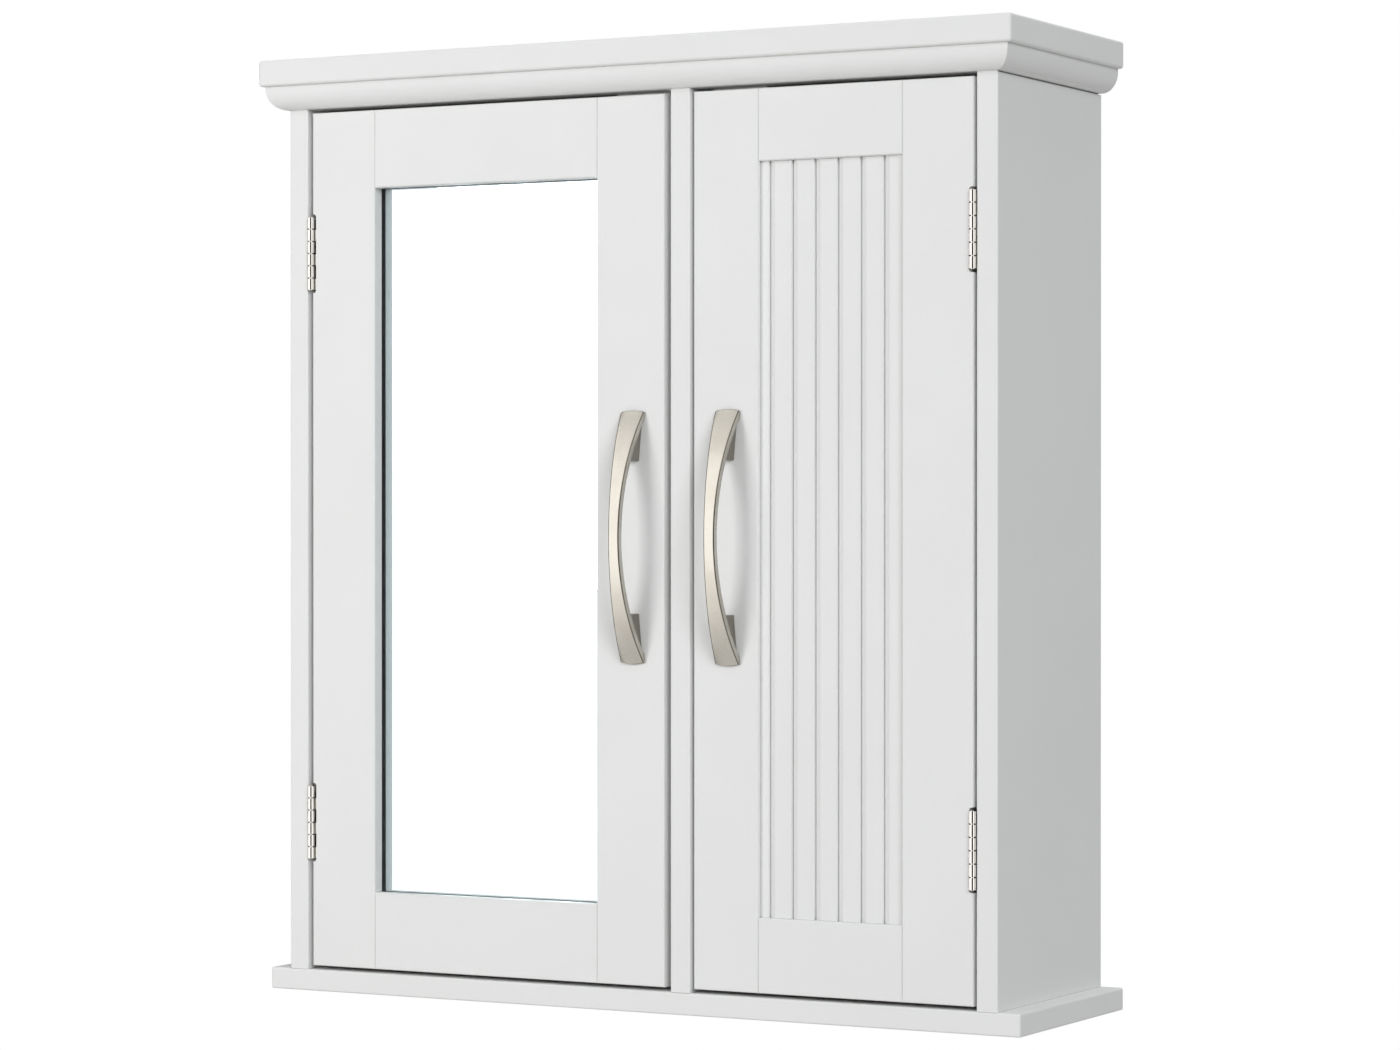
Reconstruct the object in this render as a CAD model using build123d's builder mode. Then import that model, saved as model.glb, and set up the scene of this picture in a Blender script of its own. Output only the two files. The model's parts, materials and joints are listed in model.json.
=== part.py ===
from build123d import *
import os

os.makedirs("parts", exist_ok=True)

# Two-door hanging wall cabinet, millimetres.  +X right, +Y towards the wall, +Z up.
# Origin: on the wall plane, midway between the two wall screws in the hanging rail.

# ---- Carcass ----
CARCASS_W = 510.0
CARCASS_D = 157.0
PANEL_T = 14.0              # side panels, divider and base board
OPENING_H = 564.0           # base board to the underside of the top panel
TOP_T = 15.0                # top panel, and the height of the moulding in front of it
SLAB_T = 17.0
SLAB_OVERHANG = 15.0        # past the carcass, on the front and on both sides
BASE_OVERHANG = 15.0        # past the carcass, on both sides only
BASE_PROUD = 0.4            # past the carcass at the front
BACK_T = 3.0
BACK_REBATE_W = 7.0
EDGE_ROUND = 1.0
SLAB_CORNER_R = 2.0
SLAB_TOP_R = 1.8
SLAB_LOW_R = 1.9
BASE_CORNER_R = 1.5
BASE_RIM_R = 1.2
OFF_WALL = -0.1             # edges in front of this plane are rounded, those on the wall stay sharp
SHADOW_GAP_H = 1.0          # narrow groove in each side, straight under the moulding
SHADOW_GAP_D = 2.0
HANG_HEIGHT = 548.0         # underside of the base board to the wall screws

RAIL_H = 60.0
RAIL_T = 15.0
WALL_SCREW_SPACING = 406.4
WALL_HOLE_R = 2.75

# ---- Moulding ----
MOULD_OUT = 11.5
MOULD_FLAT = 2.0            # plain strip above its curve
MOULD_TOE = 0.8             # thickness at its lower edge

# ---- Doors ----
DOOR_T = 15.0
DOOR_RECESS = 0.4
DOOR_GAP_Z = 2.6
MIRROR_DOOR_W = 264.0
PANEL_DOOR_W = 191.2
MIRROR_HINGE_GAP = 3.4
MIRROR_LATCH_GAP = 4.6
PANEL_LATCH_GAP = 2.4
JOINT_CHAMFER = 0.7         # each side of the V groove between a stile and a rail
TONGUE_L = 8.0

MIRROR_HINGE_STILE = 48.4
MIRROR_LATCH_STILE = 48.7
MIRROR_TOP_RAIL_H = 50.7
MIRROR_BOTTOM_RAIL_H = 49.9
MIRROR_LIP = 8.5            # frame thickness in front of the mirror
MIRROR_T = 4.0
MIRROR_TONGUE_T = 5.0       # each rail's tongue, just in front of the mirror
MIRROR_BACKING_T = 2.4
MIRROR_LAP = 7.0            # how far the glass reaches behind the frame

PANEL_HINGE_STILE = 47.4
PANEL_LATCH_STILE = 45.2
PANEL_TOP_RAIL_H = 45.0
PANEL_BOTTOM_RAIL_H = 46.6
PANEL_LIP = 3.5
PANEL_T_DOOR = 6.0
PANEL_LAP = 7.5
BEAD_COUNT = 6
BEAD_FIRST = 5.8            # latch stile to the first groove
BEAD_PITCH = 15.66
BEAD_W = 4.4                # one steep wall, then a slope back up to the face
BEAD_DEPTH = 2.0
BEAD_STEEP_W = 0.3

# ---- Hinges ----
HINGE_L = 48.0
HINGE_FROM_BOTTOM = 70.0    # lower edge of the door to the lower hinge
HINGE_FROM_TOP = 68.0       # upper edge of the door to the upper hinge
KNUCKLES = 6
KNUCKLE_GAP = 0.8
BARREL_R = 2.4
PIN_R = 1.2
PIN_RUNNING_GAP = 0.05
AXIS_FROM_PANEL = 2.5
LEAF_T = 1.0
LEAF_D = 13.0
LEAF_CLEAR_D = 3.2          # where a leaf starts beside the other leaf's knuckles
POCKET_W = 2.8
POCKET_END = 1.8            # pocket past each end of the hinge
POCKET_BEHIND = 0.5         # pocket past the back edge of the leaf
POCKET_R = 2.0
HINGE_SCREW_Z = 16.0        # either side of the hinge's middle
HINGE_SCREW_Y = 8.2         # behind the hinge axis

# ---- Handles ----
HANDLE_L = 159.0
HANDLE_CENTRES = 128.0
HANDLE_OUT = 26.0
HANDLE_MID_W = 7.4
HANDLE_TIP_W = 16.8
HANDLE_STRAP_T = 4.4
HANDLE_TIP_T = 1.2
HANDLE_TIP_CROWN = 0.9      # how far the middle of each tip stands past its corners
HANDLE_FOOT_FROM = 48.0     # middle of the handle to the inner end of a foot
HANDLE_FOOT_INSET = 1.7
MIRROR_HANDLE_IN = 21.9      # latch edge of the door to the handle's centre line
PANEL_HANDLE_IN = 24.6
HANDLE_RISE = 2.0           # middle of the handle above the middle of the door
HANDLE_SCREW_R = 2.0
HANDLE_SCREW_IN = 6.0       # how far its screws reach into the feet
HANDLE_SCREW_GAP = 0.2
PAN_HEAD_R = 3.8
PAN_HEAD_H = 2.2
PAN_HEAD_ROUND = 1.0
RECESS_L = 4.4
RECESS_W = 0.9
RECESS_D = 1.2

# ---- Shelves ----
SHELF_T = 12.0
SHELF_D = 124.0
SHELF_SIDE_GAP = 1.0
SHELF_HEIGHTS = (190.0, 380.0)      # undersides, above the base board's top face
SHELF_BACK = -4.0
PIN_ROWS_Y = (-108.0, -30.0)
PIN_PITCH = 32.0
PEG_R = 2.5
PEG_L = 5.8
PEG_HOLE_L = 6.0
PEG_FLANGE_R = 4.0
PEG_FLANGE_T = 0.8
PEG_TAB_L = 8.0
PEG_TAB_W = 6.0
PEG_TAB_T = 2.0

# ---- Fastenings: each screw is given by its shank radius, length and head radius ----
BASE_SCREW = (2.0, 45.0, 4.0)
SLAB_SCREW = (1.8, 27.0, 3.6)
HINGE_SCREW = (1.2, 9.0, 2.4)
CLIP_SCREW = (1.2, 9.0, 2.4)
CATCH_SCREW = (1.2, 10.0, 2.4)
STRIKE_SCREW = (1.2, 9.0, 2.2)
BACK_PIN = (0.7, 12.0, 1.7)
BACK_PIN_HEIGHTS = (20.0, 180.0, 340.0, 490.0)
SLAB_SCREW_IN = 60.0        # a compartment's wall to its slab screws
FIT = 0.05                  # clearance round a screw, dowel or peg in its hole
DOWEL_R = 4.0
DOWEL_L = 24.0
DOWEL_IN_PANEL = 9.0
CAM_R = 7.5
CAM_H = 12.0
CAM_FROM_PANEL = 24.0
CAM_BOLT_R = 3.0
CAM_BOLT_HEAD_R = 4.0
CAM_BOLT_L = 32.0
CAM_BOLT_IN_PANEL = 10.0
CAM_TIP_R = 3.7
CAM_TIP_L = 3.0
CAM_TIP_AT = 1.0            # middle of the bolt's tip from the middle of its cam
CAM_SLOT_L = 8.0
CAM_SLOT_W = 1.6
CAM_SLOT_D = 2.0
CAM_BORE_GAP = 0.2
FIXING_ROWS_Y = (-130.0, -40.0)
CAM_OFFSET_Y = 22.0

# ---- Clips behind the mirror ----
CLIP_L = 24.0
CLIP_W = 10.0
CLIP_T = 2.0
CLIP_FROM_END = 60.0
CLIP_CORNER_R = 3.0

# ---- Magnetic catches ----
CATCH_L = 38.0
CATCH_D = 12.0
CATCH_H = 13.0
CATCH_FROM_LATCH = 24.0
CATCH_EAR_L = 8.0
CATCH_EAR_T = 3.0
MAGNET_L = 16.0
MAGNET_H = 8.0
MAGNET_D = 9.0
STRIKE_L = 30.0
STRIKE_H = 11.0
STRIKE_T = 1.2
STRIKE_CORNER_R = 2.0
STRIKE_GAP = 0.15

# ---- Levels and planes worked out from the above ----
BASE_Z = -HANG_HEIGHT
FLOOR_Z = BASE_Z + PANEL_T                  # top face of the base board
CEILING_Z = FLOOR_Z + OPENING_H             # underside of the top panel
SLAB_Z = CEILING_Z + TOP_T
TOP_Z = SLAB_Z + SLAB_T
FRONT_Y = -CARCASS_D
BACK_Y = -BACK_T
LEFT_X = -CARCASS_W / 2
RIGHT_X = CARCASS_W / 2
LEFT_IN = LEFT_X + PANEL_T
RIGHT_IN = RIGHT_X - PANEL_T

DOOR_Z0 = FLOOR_Z + DOOR_GAP_Z
DOOR_Z1 = CEILING_Z - DOOR_GAP_Z
DOOR_Y0 = FRONT_Y + DOOR_RECESS
DOOR_Y1 = DOOR_Y0 + DOOR_T
M_X0 = LEFT_IN + MIRROR_HINGE_GAP           # mirror door, hinge edge
M_X1 = M_X0 + MIRROR_DOOR_W
DIV_X0 = M_X1 + MIRROR_LATCH_GAP
DIV_X1 = DIV_X0 + PANEL_T
P_X0 = DIV_X1 + PANEL_LATCH_GAP
P_X1 = P_X0 + PANEL_DOOR_W                  # panelled door, hinge edge

M_OPEN_X0 = M_X0 + MIRROR_HINGE_STILE
M_OPEN_X1 = M_X1 - MIRROR_LATCH_STILE
M_OPEN_Z0 = DOOR_Z0 + MIRROR_BOTTOM_RAIL_H
M_OPEN_Z1 = DOOR_Z1 - MIRROR_TOP_RAIL_H
P_OPEN_X0 = P_X0 + PANEL_LATCH_STILE
P_OPEN_X1 = P_X1 - PANEL_HINGE_STILE
P_OPEN_Z0 = DOOR_Z0 + PANEL_BOTTOM_RAIL_H
P_OPEN_Z1 = DOOR_Z1 - PANEL_TOP_RAIL_H

LEFT_AXIS_X = LEFT_IN + AXIS_FROM_PANEL
RIGHT_AXIS_X = RIGHT_IN - AXIS_FROM_PANEL
HINGE_Z = (DOOR_Z0 + HINGE_FROM_BOTTOM + HINGE_L / 2, DOOR_Z1 - HINGE_FROM_TOP - HINGE_L / 2)
HANDLE_Z = (DOOR_Z0 + DOOR_Z1) / 2 + HANDLE_RISE
M_HANDLE_X = M_X1 - MIRROR_HANDLE_IN
P_HANDLE_X = P_X0 + PANEL_HANDLE_IN

# Where a rod or box starts, along its own axis
FROM_BASE = (Align.CENTER, Align.CENTER, Align.MIN)
TO_TOP = (Align.CENTER, Align.CENTER, Align.MAX)


def finish(builder, name):
    """Label a finished piece and write it."""
    builder.part.label = name
    export_step(builder.part, f"parts/{name}.step")


def block(x0, x1, y0, y1, z0, z1, mode=Mode.ADD):
    """A box between two corners, added to or cut from the part being built."""
    with BuildSketch(Plane.XY.offset(z0)) as outline:
        with Locations(((x0 + x1) / 2, (y0 + y1) / 2)):
            Rectangle(x1 - x0, y1 - y0)
    extrude(outline.sketch, amount=z1 - z0, mode=mode)


def facing(x, y, z, direction):
    """The plane at a point whose normal looks along a direction."""
    across = (0, 1, 0) if abs(direction[0]) + abs(direction[2]) > 0.5 else (1, 0, 0)
    return Plane(origin=(x, y, z), x_dir=across, z_dir=direction)


def countersunk(places, shank_r, length, head_r, grow=0.0):
    """Countersunk screws, one at each plane: the head's face lies on the plane, the tip behind it."""
    head_h = head_r - shank_r
    with BuildPart() as screws:
        for place in places:
            with Locations(place):
                Cylinder(shank_r + grow, length + grow, align=TO_TOP)
                Cone(shank_r + grow, head_r + grow, head_h, align=TO_TOP)
                if not grow:
                    Box(head_r * 1.1, head_r * 0.22, head_h * 0.5, align=TO_TOP, mode=Mode.SUBTRACT)
                    Box(head_r * 0.22, head_r * 1.1, head_h * 0.5, align=TO_TOP, mode=Mode.SUBTRACT)
    return screws


def rods(places, radius, length, grow=0.0):
    """Plain round rods, centred on each plane and lying along its normal."""
    with BuildPart() as group:
        for place in places:
            with Locations(place):
                Cylinder(radius + grow, length + 2 * grow)
    return group


# ---- Where the fastenings go ----

base_screw_places = [
    facing(x, y, BASE_Z, (0, 0, -1))
    for x in (LEFT_X + PANEL_T / 2, (DIV_X0 + DIV_X1) / 2, RIGHT_X - PANEL_T / 2)
    for y in FIXING_ROWS_Y
]
slab_screw_places = [
    facing(x, y, CEILING_Z, (0, 0, -1))
    for x in (LEFT_IN + SLAB_SCREW_IN, DIV_X0 - SLAB_SCREW_IN, (DIV_X1 + RIGHT_IN) / 2)
    for y in FIXING_ROWS_Y
]
top_middle_z = CEILING_Z + TOP_T / 2
top_dowel_places = [
    facing(side * (RIGHT_IN + DOWEL_IN_PANEL - DOWEL_L / 2), y, top_middle_z, (1, 0, 0))
    for side in (-1, 1)
    for y in FIXING_ROWS_Y
]
divider_dowel_places = [
    facing((DIV_X0 + DIV_X1) / 2, y, CEILING_Z, (0, 0, 1))
    for y in FIXING_ROWS_Y
]
rail_dowel_places = [
    facing(side * (RIGHT_IN + DOWEL_IN_PANEL - DOWEL_L / 2), BACK_Y - RAIL_T / 2,
           CEILING_Z - RAIL_H / 2, (1, 0, 0))
    for side in (-1, 1)
]
cam_spots = [
    (side, side * (RIGHT_IN - CAM_FROM_PANEL), y + CAM_OFFSET_Y)
    for side in (-1, 1)
    for y in FIXING_ROWS_Y
]


def frame_screw_places(panel_x, side):
    """Hinge screws into a side panel, whose inner face is at panel_x."""
    return [
        facing(panel_x + side * LEAF_T, FRONT_Y + HINGE_SCREW_Y, z + dz, (side, 0, 0))
        for z in HINGE_Z
        for dz in (-HINGE_SCREW_Z, HINGE_SCREW_Z)
    ]


def door_screw_places(pocket_x, side):
    """Hinge screws into a door's edge, whose pocket floor is at pocket_x."""
    return [
        facing(pocket_x - side * LEAF_T, FRONT_Y + HINGE_SCREW_Y, z + dz, (-side, 0, 0))
        for z in HINGE_Z
        for dz in (-HINGE_SCREW_Z, HINGE_SCREW_Z)
    ]


frame_screws_at = frame_screw_places(LEFT_IN, 1) + frame_screw_places(RIGHT_IN, -1)
mirror_door_screws_at = door_screw_places(M_X0 + POCKET_W, 1)
panel_door_screws_at = door_screw_places(P_X1 - POCKET_W, -1)

back_half_w = RIGHT_IN + BACK_REBATE_W
back_pin_places = [
    facing(x, 0, FLOOR_Z + dz, (0, 1, 0))
    for x in (-back_half_w + BACK_REBATE_W / 2, (DIV_X0 + DIV_X1) / 2, back_half_w - BACK_REBATE_W / 2)
    for dz in BACK_PIN_HEIGHTS
]

clip_z = (M_OPEN_Z0 + CLIP_FROM_END, (M_OPEN_Z0 + M_OPEN_Z1) / 2, M_OPEN_Z1 - CLIP_FROM_END)
clip_spots = [
    (x, side, z)
    for x, side in ((M_OPEN_X0 - TONGUE_L, -1), (M_OPEN_X1 + TONGUE_L, 1))
    for z in clip_z
]
clip_screw_places = [
    facing(x + side * CLIP_L / 4, DOOR_Y1 + CLIP_T, z, (0, 1, 0)) for x, side, z in clip_spots
]

M_CATCH_X = M_X1 - CATCH_FROM_LATCH
P_CATCH_X = P_X0 + CATCH_FROM_LATCH
CATCH_Y0 = DOOR_Y1 + STRIKE_T + STRIKE_GAP
CATCH_MIDDLE_Z = CEILING_Z - CATCH_H / 2
strike_screw_at = {
    x: facing(x, DOOR_Y1 + STRIKE_T, CATCH_MIDDLE_Z, (0, 1, 0)) for x in (M_CATCH_X, P_CATCH_X)
}
catch_screw_places = [
    facing(x + end * (CATCH_L - CATCH_EAR_L) / 2, CATCH_Y0 + CATCH_D / 2, CEILING_Z - CATCH_EAR_T,
           (0, 0, -1))
    for x in (M_CATCH_X, P_CATCH_X)
    for end in (-1, 1)
]


def peg_holes(x, direction):
    """Rows of shelf peg holes bored into a face at x, along a direction."""
    places = [
        facing(x + direction * PEG_HOLE_L / 2, y, FLOOR_Z + shelf + step * PIN_PITCH - PEG_TAB_T / 2,
               (1, 0, 0))
        for y in PIN_ROWS_Y
        for shelf in SHELF_HEIGHTS
        for step in (-1, 0, 1)
    ]
    return rods(places, PEG_R + FIT, PEG_HOLE_L)


# ---- Carcass ----

with BuildPart() as base_board:
    block(LEFT_X - BASE_OVERHANG, RIGHT_X + BASE_OVERHANG, FRONT_Y - BASE_PROUD, 0, BASE_Z, FLOOR_Z)
    rounded = base_board.edges().filter_by(Axis.Z).group_by(Axis.Y)[0]
    fillet(rounded, BASE_CORNER_R)
    rims = base_board.faces().sort_by(Axis.Z)
    fillet((rims[0].edges() + rims[-1].edges()).filter_by(lambda e: e.center().Y < OFF_WALL), BASE_RIM_R)
    add(countersunk(base_screw_places, *BASE_SCREW, FIT).part, mode=Mode.SUBTRACT)
finish(base_board, "base_board")

with BuildPart() as crown_slab:
    block(LEFT_X - SLAB_OVERHANG, RIGHT_X + SLAB_OVERHANG, FRONT_Y - SLAB_OVERHANG, 0, SLAB_Z, TOP_Z)
    fillet(crown_slab.edges().filter_by(Axis.Z).group_by(Axis.Y)[0], SLAB_CORNER_R)
    top_rim = crown_slab.faces().sort_by(Axis.Z)[-1].edges().filter_by(lambda e: e.center().Y < OFF_WALL)
    fillet(top_rim, SLAB_TOP_R)
    low_rim = crown_slab.faces().sort_by(Axis.Z)[0].edges().filter_by(lambda e: e.center().Y < OFF_WALL)
    fillet(low_rim, SLAB_LOW_R)
    add(countersunk(slab_screw_places, *SLAB_SCREW, FIT).part, mode=Mode.SUBTRACT)
finish(crown_slab, "crown_slab")

with BuildPart() as top_panel:
    block(LEFT_IN, RIGHT_IN, FRONT_Y, BACK_Y, CEILING_Z, SLAB_Z)
    add(countersunk(slab_screw_places, *SLAB_SCREW, FIT).part, mode=Mode.SUBTRACT)
    add(rods(top_dowel_places, DOWEL_R, DOWEL_L, FIT).part, mode=Mode.SUBTRACT)
    add(rods(divider_dowel_places, DOWEL_R, DOWEL_L, FIT).part, mode=Mode.SUBTRACT)
    add(countersunk(catch_screw_places, *CATCH_SCREW, FIT).part, mode=Mode.SUBTRACT)
    for side, x, y in cam_spots:
        with Locations((x, y, CEILING_Z)):
            Cylinder(CAM_R + FIT, CAM_H + FIT, align=FROM_BASE, mode=Mode.SUBTRACT)
        with Locations(facing((x + side * RIGHT_IN) / 2, y, top_middle_z, (1, 0, 0))):
            Cylinder(CAM_BOLT_HEAD_R + FIT, CAM_FROM_PANEL, mode=Mode.SUBTRACT)
finish(top_panel, "top_panel")


def side_panel(outer_x, inner_x):
    """A side panel: rounded front edges, a rebate for the back, and every bore in its inner face."""
    side = 1 if inner_x > outer_x else -1
    with BuildPart() as panel:
        with BuildSketch(Plane.XY.offset(FLOOR_Z)) as outline:
            with Locations(((outer_x + inner_x) / 2, FRONT_Y / 2)):
                Rectangle(PANEL_T, CARCASS_D)
            fillet(outline.vertices().group_by(Axis.Y)[0], EDGE_ROUND)
            with Locations((inner_x - side * BACK_REBATE_W / 2, BACK_Y / 2)):
                Rectangle(BACK_REBATE_W, BACK_T, mode=Mode.SUBTRACT)
        extrude(amount=SLAB_Z - FLOOR_Z)
        shadow_x = sorted((outer_x, outer_x + side * SHADOW_GAP_D))
        block(*shadow_x, FRONT_Y + EDGE_ROUND, 0, CEILING_Z - SHADOW_GAP_H, CEILING_Z, Mode.SUBTRACT)
        add(countersunk(base_screw_places, *BASE_SCREW, FIT).part, mode=Mode.SUBTRACT)
        add(rods(top_dowel_places + rail_dowel_places, DOWEL_R, DOWEL_L, FIT).part, mode=Mode.SUBTRACT)
        add(countersunk(frame_screws_at, *HINGE_SCREW, FIT).part, mode=Mode.SUBTRACT)
        add(countersunk(back_pin_places, *BACK_PIN, FIT).part, mode=Mode.SUBTRACT)
        add(peg_holes(inner_x, -side).part, mode=Mode.SUBTRACT)
        for way, _, y in cam_spots:
            if way == -side:
                with Locations(facing(inner_x - side * CAM_BOLT_IN_PANEL / 2, y, top_middle_z, (1, 0, 0))):
                    Cylinder(CAM_BOLT_R + FIT, CAM_BOLT_IN_PANEL + CAM_BORE_GAP, mode=Mode.SUBTRACT)
    return panel


finish(side_panel(LEFT_X, LEFT_IN), "left_side_panel")
finish(side_panel(RIGHT_X, RIGHT_IN), "right_side_panel")

with BuildPart() as divider:
    with BuildSketch(Plane.XY.offset(FLOOR_Z)) as divider_outline:
        with Locations(((DIV_X0 + DIV_X1) / 2, (FRONT_Y + BACK_Y) / 2)):
            Rectangle(PANEL_T, BACK_Y - FRONT_Y)
        fillet(divider_outline.vertices().group_by(Axis.Y)[0], EDGE_ROUND)
    extrude(amount=OPENING_H)
    block(DIV_X0 - 1, DIV_X1 + 1, BACK_Y - RAIL_T, BACK_Y + 1, CEILING_Z - RAIL_H, CEILING_Z + 1,
          Mode.SUBTRACT)
    add(countersunk(base_screw_places, *BASE_SCREW, FIT).part, mode=Mode.SUBTRACT)
    add(rods(divider_dowel_places, DOWEL_R, DOWEL_L, FIT).part, mode=Mode.SUBTRACT)
    add(countersunk(back_pin_places, *BACK_PIN, FIT).part, mode=Mode.SUBTRACT)
    add(peg_holes(DIV_X0, 1).part, mode=Mode.SUBTRACT)
    add(peg_holes(DIV_X1, -1).part, mode=Mode.SUBTRACT)
finish(divider, "divider")

wall_holes = [facing(x, 0, 0, (0, 1, 0)) for x in (-WALL_SCREW_SPACING / 2, WALL_SCREW_SPACING / 2)]

with BuildPart() as hanging_rail:
    block(LEFT_IN, RIGHT_IN, BACK_Y - RAIL_T, BACK_Y, CEILING_Z - RAIL_H, CEILING_Z)
    add(rods(wall_holes, WALL_HOLE_R, RAIL_H).part, mode=Mode.SUBTRACT)
    add(rods(rail_dowel_places, DOWEL_R, DOWEL_L, FIT).part, mode=Mode.SUBTRACT)
finish(hanging_rail, "hanging_rail")

# ---- Back panel and its pins ----

with BuildPart() as back_panel:
    block(-back_half_w, back_half_w, BACK_Y, 0, FLOOR_Z, SLAB_Z)
    add(rods(wall_holes, WALL_HOLE_R, RAIL_H).part, mode=Mode.SUBTRACT)
    add(countersunk(back_pin_places, *BACK_PIN, FIT).part, mode=Mode.SUBTRACT)
finish(back_panel, "back_panel")
finish(countersunk(back_pin_places, *BACK_PIN), "back_panel_pins")

# ---- Moulding under the crown slab: a convex quarter round, mitred at the front corners ----


def mould_profile(plane):
    """The moulding's section, on a plane whose x axis points outwards and whose y axis points up."""
    with BuildSketch(plane) as section:
        with BuildLine():
            Line((0, 0), (MOULD_TOE, 0))
            curve = EllipticalCenterArc(
                (MOULD_TOE, TOP_T - MOULD_FLAT),
                MOULD_OUT - MOULD_TOE, TOP_T - MOULD_FLAT, start_angle=270, arc_size=90)
            Line(curve @ 1, (MOULD_OUT, TOP_T))
            Line((MOULD_OUT, TOP_T), (0, TOP_T))
            Line((0, TOP_T), (0, 0))
        make_face()
    return section


def mitre(corner_x, side):
    """The vertical plane through a front corner that halves it, facing the middle of the front."""
    return Plane(origin=(corner_x, FRONT_Y, SLAB_Z), x_dir=(0, 0, 1), z_dir=(-side, -1, 0))


with BuildPart() as front_moulding:
    start = Plane(origin=(LEFT_X - MOULD_OUT, FRONT_Y, CEILING_Z), x_dir=(0, -1, 0), z_dir=(-1, 0, 0))
    extrude(mould_profile(start).sketch, amount=-(CARCASS_W + 2 * MOULD_OUT))
    split(bisect_by=mitre(LEFT_X, -1), keep=Keep.TOP)
    split(bisect_by=mitre(RIGHT_X, 1), keep=Keep.TOP)
finish(front_moulding, "front_moulding")


def side_moulding(panel_x, side):
    """The moulding along one side, from the mitre back to the wall."""
    with BuildPart() as strip:
        rear = Plane(origin=(panel_x, 0, CEILING_Z), x_dir=(side, 0, 0), z_dir=(0, -side, 0))
        extrude(mould_profile(rear).sketch, amount=side * (CARCASS_D + MOULD_OUT))
        split(bisect_by=mitre(panel_x, side), keep=Keep.BOTTOM)
    return strip


finish(side_moulding(LEFT_X, -1), "left_moulding")
finish(side_moulding(RIGHT_X, 1), "right_moulding")

# ---- Carcass fastenings ----

finish(countersunk(base_screw_places, *BASE_SCREW), "base_screws")
finish(countersunk(slab_screw_places, *SLAB_SCREW), "slab_screws")
finish(rods(top_dowel_places + divider_dowel_places + rail_dowel_places, DOWEL_R, DOWEL_L), "dowels")

with BuildPart() as cam_locks:
    for side, x, y in cam_spots:
        with Locations((x, y, CEILING_Z)):
            Cylinder(CAM_R, CAM_H, align=FROM_BASE)
            Box(CAM_SLOT_L, CAM_SLOT_W, CAM_SLOT_D, align=FROM_BASE, mode=Mode.SUBTRACT)
            Box(CAM_SLOT_W, CAM_SLOT_L, CAM_SLOT_D, align=FROM_BASE, mode=Mode.SUBTRACT)
        with Locations(facing(x + side * CAM_R / 2, y, top_middle_z, (1, 0, 0))):
            Cylinder(CAM_BOLT_HEAD_R + CAM_BORE_GAP, CAM_R + CAM_BOLT_HEAD_R, mode=Mode.SUBTRACT)
finish(cam_locks, "cam_locks")

with BuildPart() as cam_bolts:
    for side, x, y in cam_spots:
        bolt_middle_x = side * (RIGHT_IN + CAM_BOLT_IN_PANEL - CAM_BOLT_L / 2)
        with Locations(facing(bolt_middle_x, y, top_middle_z, (1, 0, 0))):
            Cylinder(CAM_BOLT_R, CAM_BOLT_L)
        with Locations(facing(x + side * CAM_TIP_AT, y, top_middle_z, (1, 0, 0))):
            Cylinder(CAM_TIP_R, CAM_TIP_L)
finish(cam_bolts, "cam_bolts")

# ---- Shelves and their pegs ----


def shelf(x0, x1, underside):
    """A loose shelf between two faces, resting on its pegs."""
    with BuildPart() as board:
        block(x0 + SHELF_SIDE_GAP, x1 - SHELF_SIDE_GAP, SHELF_BACK - SHELF_D, SHELF_BACK,
              FLOOR_Z + underside, FLOOR_Z + underside + SHELF_T)
        fillet(board.edges().filter_by(Axis.X).group_by(Axis.Y)[0], EDGE_ROUND)
    return board


for level, underside in zip(("lower", "upper"), SHELF_HEIGHTS):
    finish(shelf(LEFT_IN, DIV_X0, underside), f"left_{level}_shelf")
    finish(shelf(DIV_X1, RIGHT_IN, underside), f"right_{level}_shelf")


def shelf_pegs(x0, x1):
    """Pegs for one compartment: a shank in the panel, a flange against it, a flat tab under the shelf."""
    with BuildPart() as pegs:
        for underside in SHELF_HEIGHTS:
            z = FLOOR_Z + underside - PEG_TAB_T / 2
            flange_z = z - (PEG_FLANGE_R - PEG_TAB_T) / 2
            for y in PIN_ROWS_Y:
                for face_x, side in ((x0, 1), (x1, -1)):
                    with Locations(facing(face_x - side * PEG_L / 2, y, z, (1, 0, 0))):
                        Cylinder(PEG_R, PEG_L)
                    with Locations((face_x + side * PEG_FLANGE_T / 2, y, flange_z)):
                        Box(PEG_FLANGE_T, 2 * PEG_FLANGE_R, PEG_FLANGE_R)
                    with Locations((face_x + side * PEG_TAB_L / 2, y, z)):
                        Box(PEG_TAB_L, PEG_TAB_W, PEG_TAB_T)
    return pegs


finish(shelf_pegs(LEFT_IN, DIV_X0), "left_shelf_pegs")
finish(shelf_pegs(DIV_X1, RIGHT_IN), "right_shelf_pegs")

# ---- Door frames: stiles run the full height, rails fit between them with a tongue at each end ----


def hinge_pockets(edge_x):
    """Round-cornered pockets in a door's hinge edge, open at the front, one for each hinge."""
    with BuildPart() as pockets:
        for z in HINGE_Z:
            with BuildSketch(Plane(origin=(edge_x, FRONT_Y - 1, z), x_dir=(1, 0, 0), z_dir=(0, -1, 0))):
                RectangleRounded(2 * POCKET_W, HINGE_L + 2 * POCKET_END, POCKET_R)
            extrude(amount=-(1 + LEAF_D + POCKET_BEHIND))
    return pockets


def handle_bores(handle_x):
    """Two holes through a stile for the handle's screws."""
    places = [
        facing(handle_x, (DOOR_Y0 + DOOR_Y1) / 2, HANDLE_Z + dz, (0, 1, 0))
        for dz in (-HANDLE_CENTRES / 2, HANDLE_CENTRES / 2)
    ]
    return rods(places, HANDLE_SCREW_R + HANDLE_SCREW_GAP, DOOR_T)


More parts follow.
